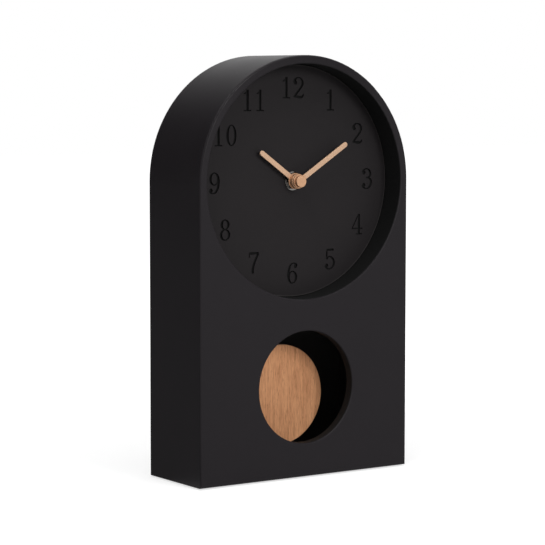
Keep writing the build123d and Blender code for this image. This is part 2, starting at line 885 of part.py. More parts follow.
def make_drive_bobbin():
    whole = tube(magnet_place, drive_coil_bore + drive_flange, drive_coil_bore, floor_back, drive_coil_rear)
    for y in (floor_back, drive_coil_rear - drive_flange):
        whole += tube(magnet_place, drive_coil_radius, drive_coil_bore, y, y + drive_flange)
    return whole


def make_drive_winding():
    inner = drive_coil_bore + drive_flange + pivot_gap
    outer = drive_coil_radius - drive_flange
    return tube(magnet_place, outer, inner, floor_back + drive_flange, drive_coil_rear - drive_flange)


def make_pendulum_hanger():
    half = hanger_width / 2
    seat_radius = magnet_radius + magnet_wall
    shoulder = peg_height + eye_radius + 2 * rod_radius + hanger_gap
    arm = Pos(0, (pivot_height + shoulder) / 2) * Rectangle(hanger_width, pivot_height - shoulder)
    arm += Pos(*pivot_place) * Circle(half)
    arm += Pos(*magnet_place) * Circle(seat_radius)
    tongue = Pos(0, (shoulder + peg_height) / 2) * Rectangle(hanger_width, shoulder - peg_height)
    tongue += Pos(*peg_place) * Circle(half)
    whole = slab(arm, hanger_front, hanger_back)
    whole += slab(tongue, hanger_front, hanger_front + tongue_thickness)
    whole += disc(peg_place, peg_radius, hanger_front + tongue_thickness, hanger_back)
    whole -= disc(pivot_place, pin_radius + pivot_gap, hanger_front, hanger_back)
    return whole - disc(magnet_place, magnet_radius + pivot_gap, hanger_front, hanger_back)


def make_hanger_magnet():
    return disc(magnet_place, magnet_radius, hanger_front, hanger_back)


clamp_low = bob_centre - clamp_height / 2
clamp_high = bob_centre + clamp_height / 2
clamp_back = rod_axis + rod_radius + clamp_wall


def make_pendulum_rod():
    top = peg_height - eye_radius
    whole = Pos(0, rod_axis, (top + clamp_low) / 2) * Cylinder(rod_radius, top - clamp_low)
    return whole + Pos(0, rod_axis, peg_height) * Rot(90, 0, 0) * Torus(eye_radius, rod_radius)


def make_bob_disc():
    whole = disc((0, bob_centre), bob_radius, bob_front, bob_back)
    return fillet(whole.edges().filter_by(GeomType.CIRCLE), bob_round)


clamp_screw_places = [(side * clamp_screw_offset, bob_centre) for side in (-1, 1)]


def make_bob_clamp():
    half = clamp_width / 2
    whole = block(-half, half, bob_back, clamp_back, clamp_low, clamp_high)
    rod = Pos(0, rod_axis, bob_centre) * Cylinder(rod_radius + pivot_gap, clamp_height)
    slot = block(-rod_radius, rod_radius, bob_back, rod_axis, clamp_low, clamp_high)
    whole -= [rod, slot]
    for place in clamp_screw_places:
        whole -= disc(place, clamp_screw_radius + pivot_gap, bob_back, clamp_back)
    return whole


def make_bob_clamp_screws():
    head_back = clamp_back + clamp_screw_head_depth
    screws = []
    for x, z in clamp_screw_places:
        screw = disc((x, z), clamp_screw_radius, bob_back, clamp_back)
        screw += disc((x, z), clamp_screw_head_radius, clamp_back, head_back)
        slot = Pos(x, head_back - recess_sink / 4, z) * Box(recess_width, recess_sink / 2, recess_length)
        screws.append((screw - slot).solid())
    return Compound(children=screws)


nodes = {
    "front_panel": make_front_panel,
    "side_frame": make_side_frame,
    "base_board": make_base_board,
    "dial_collar": make_dial_collar,
    "dial_plate": make_dial_plate,
    "foot_pads": make_foot_pads,
    "back_battens": make_back_battens,
    "back_panel": make_back_panel,
    "back_panel_screws": make_back_panel_screws,
    "movement_base": make_movement_base,
    "movement_cover": make_movement_cover,
    "drive_cover": make_drive_cover,
    "hanger_pin": make_hanger_pin,
    "rubber_gasket": make_rubber_gasket,
    "dial_washer": make_dial_washer,
    "hand_nut": make_hand_nut,
    "minute_arbor": make_minute_arbor,
    "minute_wheel": make_minute_wheel,
    "hour_wheel": make_hour_wheel,
    "hour_hand": make_hour_hand,
    "minute_hand": make_minute_hand,
    "set_knob": make_set_knob,
    "centre_wheel": make_centre_wheel,
    "third_wheel": make_third_wheel,
    "seconds_wheel": make_seconds_wheel,
    "intermediate_wheel": make_intermediate_wheel,
    "rotor": make_rotor,
    "motor_stator": make_motor_stator,
    "motor_core": make_motor_core,
    "motor_bobbin": make_motor_bobbin,
    "motor_winding": make_motor_winding,
    "circuit_board": make_circuit_board,
    "quartz_crystal": make_quartz_crystal,
    "battery": make_battery,
    "contact_positive": make_contact_positive,
    "contact_negative": make_contact_negative,
    "drive_bobbin": make_drive_bobbin,
    "drive_winding": make_drive_winding,
    "pendulum_hanger": make_pendulum_hanger,
    "hanger_magnet": make_hanger_magnet,
    "pendulum_rod": make_pendulum_rod,
    "bob_disc": make_bob_disc,
    "bob_clamp": make_bob_clamp,
    "bob_clamp_screws": make_bob_clamp_screws,
}

os.makedirs("parts", exist_ok=True)
for name, make in nodes.items():
    export_step(make(), f"parts/{name}.step")
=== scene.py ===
import math

import bmesh
import bpy
import numpy as np
from mathutils import Matrix, Vector


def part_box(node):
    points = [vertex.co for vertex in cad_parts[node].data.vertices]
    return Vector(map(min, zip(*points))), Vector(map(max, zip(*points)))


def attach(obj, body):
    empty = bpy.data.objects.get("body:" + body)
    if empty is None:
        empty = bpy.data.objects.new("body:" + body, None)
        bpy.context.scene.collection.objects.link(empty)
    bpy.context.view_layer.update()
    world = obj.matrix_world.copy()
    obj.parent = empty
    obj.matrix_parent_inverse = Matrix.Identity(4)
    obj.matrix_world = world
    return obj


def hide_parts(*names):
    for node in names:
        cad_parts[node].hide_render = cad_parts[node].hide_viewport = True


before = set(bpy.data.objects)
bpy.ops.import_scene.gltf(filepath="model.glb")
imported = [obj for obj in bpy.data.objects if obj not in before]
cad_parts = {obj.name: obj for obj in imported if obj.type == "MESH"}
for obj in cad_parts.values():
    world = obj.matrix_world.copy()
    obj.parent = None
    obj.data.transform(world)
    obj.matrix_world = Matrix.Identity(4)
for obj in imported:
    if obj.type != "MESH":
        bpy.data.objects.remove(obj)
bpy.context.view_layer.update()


# Case: an arched front panel on a bent side frame, with a base board and a ring behind the dial hole.
# All of it is fibreboard, glued, sanded and sprayed with matt black lacquer, which dries to a faint
# orange peel, collects a little dust and is rubbed smoother along the outer edge of the front.


class Value:
    """A socket of a finish. Sums, products and powers of it add Math nodes to that finish."""

    def __init__(self, finish, socket):
        self.finish = finish
        self.socket = socket

    def maths(self, operation, first, second):
        """Adds one Math node to the finish."""
        return self.finish.node("ShaderNodeMath", {"operation": operation}, {0: first, 1: second})

    def __add__(self, other):
        return self.maths("ADD", self, other)

    def __sub__(self, other):
        return self.maths("SUBTRACT", self, other)

    def __rsub__(self, other):
        return self.maths("SUBTRACT", other, self)

    def __mul__(self, other):
        return self.maths("MULTIPLY", self, other)

    def __pow__(self, other):
        return self.maths("POWER", self, other)

    __radd__ = __add__
    __rmul__ = __mul__


class Finish:
    """A material made of nodes, on coordinates in millimetres, or a world made of nodes."""

    def __init__(self, name, kind=bpy.data.materials, shader="Principled BSDF", **constants):
        self.owner = kind.new(name)
        self.owner.use_nodes = True
        self.tree = self.owner.node_tree
        self.shader = self.tree.nodes[shader]
        self.set(**constants)

    def set(self, **sockets):
        """Sets or links sockets of the shader, named with underscores for their spaces."""
        for name, value in sockets.items():
            self.feed(self.shader.inputs[name.replace("_", " ")], value)

    def feed(self, socket, value):
        """Links a value to a socket, or sets the socket to a number or colour."""
        if isinstance(value, Value):
            self.tree.links.new(value.socket, socket)
        else:
            socket.default_value = value

    def node(self, kind, settings, sockets, output=0):
        """Adds a node: its settings first, or a ramp's stops, then the values or links of its sockets."""
        made = self.tree.nodes.new(kind)
        for name, value in settings.items():
            if name == "stops":
                elements = made.color_ramp.elements
                while len(elements) < len(value):
                    elements.new(0.5)
                for element, (position, colour) in zip(elements, value):
                    element.position = position
                    element.color = (*colour, 1)
            else:
                setattr(made, name, value)
        for name, value in sockets.items():
            self.feed(made.inputs[name], value)
        return Value(self, made.outputs[output])

    def point(self, stretch=(1, 1, 1), centre=(0, 0, 0)):
        """Object coordinates in millimetres from a centre, times a stretch along each axis."""
        stretch = np.array(stretch)
        sockets = {"Vector": self.node("ShaderNodeTexCoord", {}, {}, "Object"),
                   "Location": tuple(-stretch * centre), "Scale": tuple(stretch * 1000)}
        return self.node("ShaderNodeMapping", {"vector_type": "POINT"}, sockets)

    def noise(self, per_mm, detail, stretch=(1, 1, 1)):
        """Cloudy pattern from 0 to 1 with this many clouds to the millimetre."""
        sockets = {"Vector": self.point(stretch), "Scale": per_mm, "Detail": detail}
        return self.node("ShaderNodeTexNoise", {}, sockets)

    def axis(self, letter, centre=(0, 0, 0)):
        """One coordinate in millimetres from a centre."""
        return self.node("ShaderNodeSeparateXYZ", {}, {0: self.point(centre=centre)}, letter)

    def reach(self, axes, centre=(0, 0, 0)):
        """Distance in millimetres from a centre, along the axes marked 1."""
        sockets = {0: self.point(axes, centre)}
        return self.node("ShaderNodeVectorMath", {"operation": "LENGTH"}, sockets, "Value")

    def step(self, value, low, high):
        """0 below low, 1 above high, and smooth in between."""
        sockets = {"Value": value, "From Min": low, "From Max": high}
        return self.node("ShaderNodeMapRange", {"interpolation_type": "SMOOTHSTEP"}, sockets)

    def ramp(self, value, *stops):
        """Colours at positions along a value."""
        return self.node("ShaderNodeValToRGB", {"stops": stops}, {"Fac": value})

    def mix(self, factor, first, second):
        """One colour into another."""
        colours = [(*c, 1) if isinstance(c, tuple) else c for c in (first, second)]
        sockets = {"Factor": factor, 6: colours[0], 7: colours[1]}
        return self.node("ShaderNodeMix", {"data_type": "RGBA"}, sockets, 2)

    def bump(self, height, depth):
        """Feeds the shader's normal with a relief of this depth in millimetres."""
        sockets = {"Height": height, "Distance": depth / 1000, "Strength": 1.0}
        self.set(Normal=self.node("ShaderNodeBump", {}, sockets))


def dress(finish, *names):
    """Gives CAD nodes that keep their shape a finish."""
    for name in names:
        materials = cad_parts[name].data.materials
        materials.clear()
        materials.append(finish.owner)


def spray(finish, dark, pale, painted_shade, roughness):
    """Sprayed lacquer: faint clouds of two blacks, an orange peel a millimetre wide and fine dust.

    Where it is marked as painted shade, from 0 to 1, the colour is painted nearly dead black and rougher.
    The roughness may vary.
    """
    # Nearly dead black: the colour of the painted shade.
    shade_black = (0.004, 0.004, 0.004)
    peel = finish.noise(per_mm=0.9, detail=3)
    dust = finish.noise(per_mm=9, detail=2)
    cloud = finish.noise(per_mm=0.03, detail=3)
    finish.set(Base_Color=finish.mix(painted_shade, finish.mix(cloud, dark, pale), shade_black),
               Roughness=roughness + 0.08 * cloud + 0.06 * dust + 0.20 * painted_shade)
    finish.bump(peel + 0.25 * dust, depth=0.012)


case_radius = 89.0
case_front = -34.0
case_dark = (0.0097, 0.0081, 0.0096)
case_pale = (0.0117, 0.0098, 0.0116)
dial_centre = (0, 0, 211.0)
recess_radius = 83.0
window_centre = (0, 0, 65.2)
window_radius = 40.1
cut_depth = 0.3
rub_start = case_radius - 1.6
rub_full = case_radius - 0.8
rub_near = case_front + 0.2
rub_far = case_front + 1.4
rub_polish = 0.24
lacquer = Finish("black_lacquer", Specular_IOR_Level=0.11)
from_dial = lacquer.reach((1, 0, 1), dial_centre)
from_window = lacquer.reach((1, 0, 1), window_centre)
past_recess = lacquer.step(from_dial, recess_radius, recess_radius + cut_depth)
past_window = lacquer.step(from_window, window_radius, window_radius + cut_depth)
above_dial = lacquer.axis("Z", dial_centre)
arch_rise = above_dial.maths("MAXIMUM", above_dial, 0)
outward = (lacquer.axis("X") ** 2 + arch_rise ** 2) ** 0.5
behind_edge = lacquer.step(lacquer.axis("Y"), rub_near, rub_far)
rubbed = lacquer.step(outward, rub_start, rub_full) * (1 - behind_edge)
# Painted shade: inside the rims of the dial's recess and of the window, the case's walls are painted
# nearly dead black.
spray(lacquer, case_dark, case_pale, painted_shade=1 - past_recess * past_window,
      roughness=0.42 - rub_polish * rubbed)
dress(lacquer, "front_panel", "side_frame", "base_board", "dial_collar")


# Dial: a fibreboard disc with a step round its edge, glued behind the ring. The hours are milled a
# millimetre deep before the spraying, and their floors are painted darker, as painted shade. A narrow
# pale line round the outer edge of the dial is a painted highlight.

dial_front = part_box("dial_plate")[0].y * 1000
hour_start = dial_front + 0.55
hour_floor = dial_front + 0.9
# Radii of the painted highlight at the dial's outer edge.
highlight_start = recess_radius - 1.4
highlight_full = recess_radius - 0.9
dial_lacquer = Finish("dial_lacquer", Specular_IOR_Level=0.09)
# Painted shade: the floors of the milled hours, from this depth down.
sunk_shade = dial_lacquer.step(dial_lacquer.axis("Y"), hour_start, hour_floor)
# Painted highlight: a narrow pale ring at the dial's outer edge, in the second colours of the two mixes
# below.
painted_edge_highlight = dial_lacquer.step(dial_lacquer.reach((1, 0, 1), dial_centre), highlight_start, highlight_full)
dial_dark = dial_lacquer.mix(painted_edge_highlight, (0.0113, 0.0098, 0.0105), (0.030, 0.028, 0.028))
dial_pale = dial_lacquer.mix(painted_edge_highlight, (0.0139, 0.0120, 0.0128), (0.036, 0.033, 0.033))
spray(dial_lacquer, dial_dark, dial_pale, painted_shade=sunk_shade, roughness=0.50)
dress(dial_lacquer, "dial_plate")


# What holds the movement to the dial: a rubber ring behind it, and a bright nickel plated washer and
# hexagonal nut in front of it, turned and lightly polished.


def grained(finish, pattern, dark, pale, smooth, spread):
    """Two shades of a finish by a pattern, which also roughens it, from smooth by up to a spread."""
    finish.set(Base_Color=finish.mix(pattern, dark, pale), Roughness=smooth + spread * pattern)


def surface(name, points, finish, body, slot, *nodes):
    """Mesh of a grid of points, closed across its second direction; its ends are shut where they meet.

    Quads join neighbours in the grid, doubles are merged so that poles and the seam close, and faces are
    turned outwards. It rides on a body and stands for CAD nodes.
    """
    rows, columns = points.shape[:2]
    row, column = np.meshgrid(np.arange(rows - 1), np.arange(columns), indexing="ij")
    after = (column + 1) % columns
    quads = np.stack([row * columns + column, row * columns + after,
                      (row + 1) * columns + after, (row + 1) * columns + column], -1)
    mesh = bpy.data.meshes.new(name)
    mesh.from_pydata(points.reshape(-1, 3).tolist(), [], quads.reshape(-1, 4).tolist())
    work = bmesh.new()
    work.from_mesh(mesh)
    bmesh.ops.remove_doubles(work, verts=work.verts, dist=1e-7)
    bmesh.ops.recalc_face_normals(work, faces=work.faces)
    work.to_mesh(mesh)
    work.free()
    mesh.shade_smooth()
    mesh.set_sharp_from_angle(angle=math.radians(40))
    mesh.materials.append(finish.owner)
    piece = bpy.data.objects.new(name, mesh)
    bpy.context.scene.collection.objects.link(piece)
    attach(piece, body)
    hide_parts(*nodes)


def rounded(corners, radius, steps=6):
    """Profile with rounded corners.

    Each corner is an arc, drawn as the quadratic curve of the three points that lie a radius before it, on
    it and a radius after it. The two ends stay as they are.
    """
    corners = np.array(corners, float)
    before, at, after = corners[:-2], corners[1:-1], corners[2:]
    side_in = np.linalg.norm(before - at, axis=1)[:, None]
    side_out = np.linalg.norm(after - at, axis=1)[:, None]
    start = at + np.minimum(radius, side_in / 2) * (before - at) / side_in
    end = at + np.minimum(radius, side_out / 2) * (after - at) / side_out
    share = np.linspace(0, 1, steps)[None, :, None]
    arcs = (1 - share) ** 2 * start[:, None] + 2 * share * (1 - share) * at[:, None]
    arcs = arcs + share ** 2 * end[:, None]
    return np.concatenate([corners[:1], arcs.reshape(-1, 2), corners[-1:]])


def turned(profile, centre, along, segments=64):
    """Grid of a turned shape, from millimetres.

    Each profile point (distance along the axis, radius) goes once round the axis through the centre. along
    is 0, 1 or 2, the axis X, Y or Z. The radius may also vary round the axis.
    """
    angle = np.linspace(0, 2 * np.pi, segments, endpoint=False)
    points = np.zeros((len(profile), segments, 3))
    points[..., along] = profile[:, :1]
    points[..., (along + 1) % 3] = profile[:, 1:] * np.cos(angle)
    points[..., (along + 2) % 3] = profile[:, 1:] * np.sin(angle)
    return (points + centre) / 1000


def middle(node):
    """Centre of a CAD node's box, in millimetres."""
    low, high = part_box(node)
    return np.array(low + high) * 500


def half_size(node):
    """Half of the sides of a CAD node's box, in millimetres."""
    low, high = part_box(node)
    return np.array(high - low) * 500


rubber = Finish("black_rubber", Specular_IOR_Level=0.3)
rubber_grain = rubber.noise(per_mm=4, detail=3)
grained(rubber, rubber_grain, (0.012, 0.012, 0.012), (0.024, 0.024, 0.024), smooth=0.65, spread=0.2)
rubber.bump(rubber_grain, depth=0.02)
gasket_bore = 4.2
gasket_rounding = 0.3
gasket_half = half_size("rubber_gasket")
gasket_ring = [(0, gasket_bore), (-gasket_half[1], gasket_bore), (-gasket_half[1], gasket_half[0]),
               (gasket_half[1], gasket_half[0]), (gasket_half[1], gasket_bore), (0, gasket_bore)]
gasket_profile = rounded(gasket_ring, gasket_rounding)
surface("gasket_ring", turned(gasket_profile, middle("rubber_gasket"), along=1), rubber,
        "case", "gasket_rubber", "rubber_gasket")

nickel = Finish("bright_nickel", Metallic=1.0)
lathe_marks = nickel.noise(per_mm=6, detail=2)
grained(nickel, lathe_marks, (0.15, 0.145, 0.14), (0.23, 0.22, 0.21), smooth=0.10, spread=0.08)
nickel.bump(lathe_marks, depth=0.004)
dress(nickel, "dial_washer", "hand_nut")


# Movement housing: a moulded base with a bay for the train, one for the cell and one for the pendulum
# drive, two covers and a fluted setting knob, all black plastic with a fine spark-eroded grain.

moulded = Finish("moulded_plastic", Specular_IOR_Level=0.35)
grain = moulded.noise(per_mm=5, detail=3)
flow = moulded.noise(per_mm=0.06, detail=3, stretch=(1, 1, 0.4))
moulded.set(Base_Color=moulded.mix(flow, (0.016, 0.016, 0.018), (0.026, 0.026, 0.029)),
            Roughness=0.42 + 0.16 * grain + 0.06 * flow)
moulded.bump(grain, depth=0.02)
dress(moulded, "movement_base", "movement_cover", "drive_cover", "set_knob")


# Wheels: the motion work, the time train, the spools and the pendulum's hanger are moulded in natural
# white acetal, which lets a little light in; the minute arbor with its cannon pinion is turned from brass.

acetal = Finish("natural_acetal", Specular_IOR_Level=0.45, Subsurface_Weight=0.1, Subsurface_Scale=0.001)
haze = acetal.noise(per_mm=0.4, detail=3)
grained(acetal, haze, (0.66, 0.65, 0.60), (0.78, 0.77, 0.72), smooth=0.36, spread=0.12)
acetal.bump(acetal.noise(per_mm=3, detail=2), depth=0.01)
dress(acetal, "minute_wheel", "hour_wheel", "centre_wheel", "third_wheel", "seconds_wheel",
      "intermediate_wheel", "rotor", "motor_bobbin", "drive_bobbin", "pendulum_hanger")

brass = Finish("turned_brass", Metallic=1.0)
turning = brass.noise(per_mm=3, detail=3, stretch=(0.15, 4, 0.15))
grained(brass, turning, (0.62, 0.45, 0.20), (0.78, 0.60, 0.31), smooth=0.22, spread=0.14)
brass.bump(turning, depth=0.006)
dress(brass, "minute_arbor")


# Step motor and pendulum drive: a stamped soft iron stator and a round core inside a spool wound with
# enamelled copper wire, and a second coil for the drive. Both are close wound, so each turn shows as a
# ridge on the outside.


def winding(centre, along, half_length, inner, outer, pitch=0.45, samples_per_turn=6, segments=72):
    """Grid of a close wound coil: a tube whose outside swells as half round wires of one pitch.

    The phase of the swelling is the distance along the axis in pitches less the share of a turn, which
    makes a helix. along is 0, 1 or 2, the axis X, Y or Z.
    """
    samples = int(round(2 * half_length / pitch)) * samples_per_turn
    distance = np.linspace(-half_length, half_length, samples)
    angle = np.linspace(0, 2 * np.pi, segments, endpoint=False)
    phase = np.mod(distance[:, None] / pitch - angle / (2 * np.pi), 1)
    swell = np.sqrt(np.maximum(0, 0.25 - (phase - 0.5) ** 2)) * pitch
    shut = np.full((1, segments), inner)
    radius = np.concatenate([shut, outer - pitch / 2 + swell, shut, shut])
    distance = np.concatenate([distance[:1], distance, distance[-1:], distance[:1]])
    return turned(np.column_stack([distance, radius]), centre, along, segments)


iron = Finish("stamped_iron", Metallic=1.0)
rolling = iron.noise(per_mm=2, detail=4, stretch=(0.2, 1, 3))
grained(iron, rolling, (0.32, 0.32, 0.32), (0.46, 0.46, 0.45), smooth=0.30, spread=0.20)
iron.bump(rolling, depth=0.006)
dress(iron, "motor_stator", "motor_core")

wire = Finish("copper_wire", Metallic=1.0, Coat_Weight=0.4, Coat_Roughness=0.2)
tarnish = wire.noise(per_mm=0.7, detail=3)
grained(wire, tarnish, (0.50, 0.19, 0.09), (0.66, 0.30, 0.15), smooth=0.22, spread=0.14)
motor_bore = 1.75
motor_half = half_size("motor_winding")
motor_turns = winding(middle("motor_winding"), along=0, half_length=motor_half[0], inner=motor_bore,
                      outer=motor_half[2])
surface("motor_turns", motor_turns, wire, "case", "copper_wire", "motor_winding")
drive_bore = 3.4
drive_half = half_size("drive_winding")
drive_turns = winding(middle("drive_winding"), along=1, half_length=drive_half[1], inner=drive_bore,
                      outer=drive_half[2])
surface("drive_turns", drive_turns, wire, "case", "copper_wire", "drive_winding")


# Circuit: a small board of green lacquered glass laminate, with copper tracks that show paler through
# the lacquer, and a quartz crystal in a tinned can soldered to it.

laminate = Finish("board_laminate", Specular_IOR_Level=0.5)
weave = laminate.noise(per_mm=1.6, detail=1)
tracks = laminate.step(laminate.noise(per_mm=0.5, detail=0, stretch=(1, 1, 0.25)), 0.55, 0.57)
laminate.set(Base_Color=laminate.mix(tracks, (0.020, 0.110, 0.045), (0.045, 0.190, 0.080)),
             Roughness=0.30 + 0.15 * weave)
laminate.bump(weave + 2 * tracks, depth=0.02)
dress(laminate, "circuit_board")

tin = Finish("tinned_can", Metallic=1.0)
tin_flow = tin.noise(per_mm=1.5, detail=3)
grained(tin, tin_flow, (0.55, 0.55, 0.54), (0.70, 0.70, 0.68), smooth=0.25, spread=0.15)
dress(tin, "quartz_crystal")


# Cell: a drawn steel can in a plain printed sleeve that is shrunk over both rims, with a bright button
# at one end and a flat base at the other. Two nickel plated spring strips touch its ends.

cell_half = half_size("battery")
cell_middle = middle("battery")
cell_radius = cell_half[2]
cell_low = -cell_half[0]
cell_high = cell_half[0]
button_height = 1.3
button_radius = 2.75
shoulder = cell_high - button_height
cell_rounding = 0.45
base_end = [(cell_low + 0.25, 0), (cell_low + 0.25, 4.2), (cell_low + 0.1, 4.6), (cell_low + 0.1, 6.1),
            (cell_low + 0.5, 6.3), (cell_low, 6.5), (cell_low, cell_radius)]
button_end = [(shoulder, cell_radius), (shoulder, 5.9), (shoulder - 0.4, 5.7), (shoulder - 0.3, 3.3),
              (shoulder - 0.3, button_radius), (cell_high, button_radius), (cell_high, 0)]
bare_radius = 6.25
stripe_start = 13.0
band_end = 14.4
print_edge = 0.1
print_metallic = 0.35
sleeve = Finish("cell_sleeve")
across = sleeve.axis("X", cell_middle)
bare = 1 - sleeve.step(sleeve.reach((0, 1, 1), cell_middle), bare_radius, bare_radius + print_edge)
stripe = sleeve.step(across, stripe_start, stripe_start + print_edge)
band = stripe * (1 - sleeve.step(across, band_end, band_end + print_edge))
scuff = sleeve.noise(per_mm=0.5, detail=4, stretch=(0.3, 1, 1))
printed = sleeve.mix(stripe, (0.055, 0.058, 0.064), (0.30, 0.31, 0.33))
printed = sleeve.mix(band, printed, (0.48, 0.48, 0.47))
sleeve.set(Base_Color=sleeve.mix(bare, printed, (0.60, 0.59, 0.56)),
           Metallic=bare + (1 - bare) * print_metallic, Roughness=0.26 + 0.18 * scuff)
sleeve.bump(scuff, depth=0.01)
cell_profile = rounded(base_end + button_end, cell_rounding)
surface("cell", turned(cell_profile, cell_middle, along=0, segments=96), sleeve,
        "battery", "battery_can", "battery")

spring = Finish("nickel_strip", Metallic=1.0)
spring_grain = spring.noise(per_mm=2, detail=3, stretch=(1, 0.2, 3))
grained(spring, spring_grain, (0.52, 0.51, 0.48), (0.66, 0.65, 0.61), smooth=0.24, spread=0.14)
spring.bump(spring_grain, depth=0.004)
dress(spring, "contact_positive", "contact_negative")


# Hands: stamped bars on turned hubs, pushed on to the two pipes. They are anodised a satin copper
# colour, fine grained and without gloss; the bars, brushed first, come out a little paler than the hubs.

hub_end = 5.5
bar_start = 7.0
copper = Finish("satin_copper", Metallic=0.6, Specular_IOR_Level=0.3)
satin = copper.noise(per_mm=5, detail=2)
tone = copper.noise(per_mm=0.15, detail=2)
bar = copper.step(copper.reach((1, 0, 1), dial_centre), hub_end, bar_start)
copper_dark = copper.mix(bar, (0.413, 0.236, 0.137), (0.418, 0.270, 0.177))
copper_pale = copper.mix(bar, (0.478, 0.277, 0.162), (0.483, 0.314, 0.207))
copper.set(Base_Color=copper.mix(tone, copper_dark, copper_pale), Roughness=0.42 + 0.12 * satin)
copper.bump(satin, depth=0.006)
dress(copper, "hour_hand", "minute_hand")


# Pendulum: a wire rod hooked on the hanger's peg, a ferrite magnet in the hanger, and a disc of plywood
# with an oiled veneer, its grain upright, held to the rod by a small zinc casting. Its screws, the pin
# that it hangs on and the screws of the back panel are zinc plated.

steel = Finish("bright_wire", Metallic=1.0)
drawing = steel.noise(per_mm=3, detail=3, stretch=(1, 1, 0.05))
grained(steel, drawing, (0.62, 0.61, 0.59), (0.76, 0.75, 0.73), smooth=0.16, spread=0.12)
dress(steel, "pendulum_rod")

ferrite = Finish("ferrite", Specular_IOR_Level=0.4)
pits = ferrite.noise(per_mm=3, detail=4)
grained(ferrite, pits, (0.030, 0.030, 0.033), (0.060, 0.060, 0.064), smooth=0.5, spread=0.2)
ferrite.bump(pits, depth=0.03)
dress(ferrite, "hanger_magnet")

bob_radius = half_size("bob_disc")[0]
rim_start = bob_radius - 0.30
rim_full = bob_radius - 0.12
veneer = Finish("oiled_veneer", Specular_IOR_Level=0.12)
fibre = veneer.noise(per_mm=1.6, detail=4, stretch=(1, 1, 0.12))
figure = veneer.noise(per_mm=0.12, detail=4, stretch=(1, 1, 0.16))
streak = veneer.noise(per_mm=0.75, detail=4, stretch=(1, 1, 0.05))
pore = veneer.step(veneer.noise(per_mm=1.3, detail=2, stretch=(1, 1, 0.16)), 0.58, 0.70)
wood = veneer.ramp(0.35 * figure + 0.30 * streak + 0.35 * fibre, (0.34, (0.47, 0.205, 0.096)),
                   (0.50, (0.70, 0.335, 0.164)), (0.66, (0.87, 0.455, 0.235)))
oiled = veneer.mix(0.42 * pore, wood, (0.33, 0.122, 0.050))
layers = veneer.node("ShaderNodeTexWave", {"wave_type": "BANDS", "bands_direction": "Y"},
                     {"Vector": veneer.point(), "Scale": 0.28, "Distortion": 0.3})
ply = veneer.step(layers, 0.35, 0.65)
rim = veneer.step(veneer.reach((1, 0, 1), middle("bob_disc")), rim_start, rim_full)
cut_edge = veneer.mix(ply, (0.40, 0.22, 0.12), (0.58, 0.36, 0.21))
veneer.set(Base_Color=veneer.mix(rim, oiled, cut_edge), Roughness=0.46 + 0.14 * fibre)
veneer.bump(fibre - 1.5 * pore, depth=0.025)
dress(veneer, "bob_disc")

zinc = Finish("zinc_casting", Metallic=0.9)
skin = zinc.noise(per_mm=1.2, detail=4)
grained(zinc, skin, (0.30, 0.30, 0.31), (0.44, 0.44, 0.45), smooth=0.38, spread=0.2)
zinc.bump(skin, depth=0.03)
dress(zinc, "bob_clamp")

plated = Finish("zinc_plate", Metallic=1.0)
passivation = plated.noise(per_mm=1.5, detail=3)
grained(plated, passivation, (0.34, 0.34, 0.33), (0.48, 0.47, 0.44), smooth=0.26, spread=0.16)
plated.bump(passivation, depth=0.006)
dress(plated, "bob_clamp_screws", "hanger_pin", "back_panel_screws")


# Back: three strips of softwood glued inside the frame and sprayed black with it, their grain still
# showing, and a black hardboard panel screwed to them, smooth with a faint fibre and a large opening.

pine = Finish("softwood", Specular_IOR_Level=0.1)
growth = pine.noise(per_mm=0.5, detail=3, stretch=(1, 1, 0.05))
pine_fibre = pine.noise(per_mm=3, detail=3, stretch=(1, 1, 0.05))
pine.set(Base_Color=pine.ramp(0.7 * growth + 0.3 * pine_fibre, (0.30, (0.010, 0.009, 0.009)),
                              (0.50, (0.014, 0.013, 0.013)), (0.70, (0.022, 0.020, 0.019))),
         Roughness=0.55 + 0.15 * pine_fibre)
pine.bump(pine_fibre, depth=0.05)
dress(pine, "back_battens")

hardboard = Finish("black_hardboard", Specular_IOR_Level=0.25)
felted = hardboard.noise(per_mm=1.1, detail=5, stretch=(1, 1, 0.35))
speckle = hardboard.noise(per_mm=6, detail=2)
hardboard.set(Base_Color=hardboard.mix(felted, (0.015, 0.014, 0.013), (0.034, 0.032, 0.030)),
              Roughness=0.52 + 0.16 * speckle)
hardboard.bump(felted + 0.4 * speckle, depth=0.03)
dress(hardboard, "back_panel")


# Feet: four felt discs a millimetre thick, glued under the base board, their cut edges a little
# rounded and fuzzy.

felt = Finish("black_felt", Specular_IOR_Level=0.1, Sheen_Weight=0.3)
fuzz = felt.noise(per_mm=3.5, detail=4)
grained(felt, fuzz, (0.010, 0.010, 0.010), (0.030, 0.030, 0.030), smooth=0.9, spread=0.1)
felt.bump(fuzz, depth=0.08)
pad_radius = 5.0
pad_rounding = 0.35
pad_low, pad_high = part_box("foot_pads")
pad_height = (pad_high.z - pad_low.z) * 1000
pad_profile = rounded([(0, 0), (0, pad_radius), (pad_height, pad_radius), (pad_height, 0)], pad_rounding)
pad_places = [(x, y, 0) for x in (pad_low.x * 1000 + pad_radius, pad_high.x * 1000 - pad_radius)
              for y in (pad_low.y * 1000 + pad_radius, pad_high.y * 1000 - pad_radius)]
for number, place in enumerate(pad_places, start=1):
    surface(f"felt_{number}", turned(pad_profile, place, along=2, segments=48), felt,
            "case", "felt_pad", "foot_pads")


# Stage: a wide pale floor, which the camera and the gloss see as nearly white, whiter with distance, and
# which keeps the clock's shadow. Black cards left, right and behind, a grey one on the floor and a small
# flag above the front show only in the gloss, and keep the case and its cut edges dark. Sizes in metres.


def looked_at(finish):
    """1 or more for rays of the camera, of gloss and through glass, and 0 for scattered light."""
    camera_ray = finish.node("ShaderNodeLightPath", {}, {}, "Is Camera Ray")
    gloss_ray = finish.node("ShaderNodeLightPath", {}, {}, "Is Glossy Ray")
    glass_ray = finish.node("ShaderNodeLightPath", {}, {}, "Is Transmission Ray")
    return camera_ray + gloss_ray + glass_ray


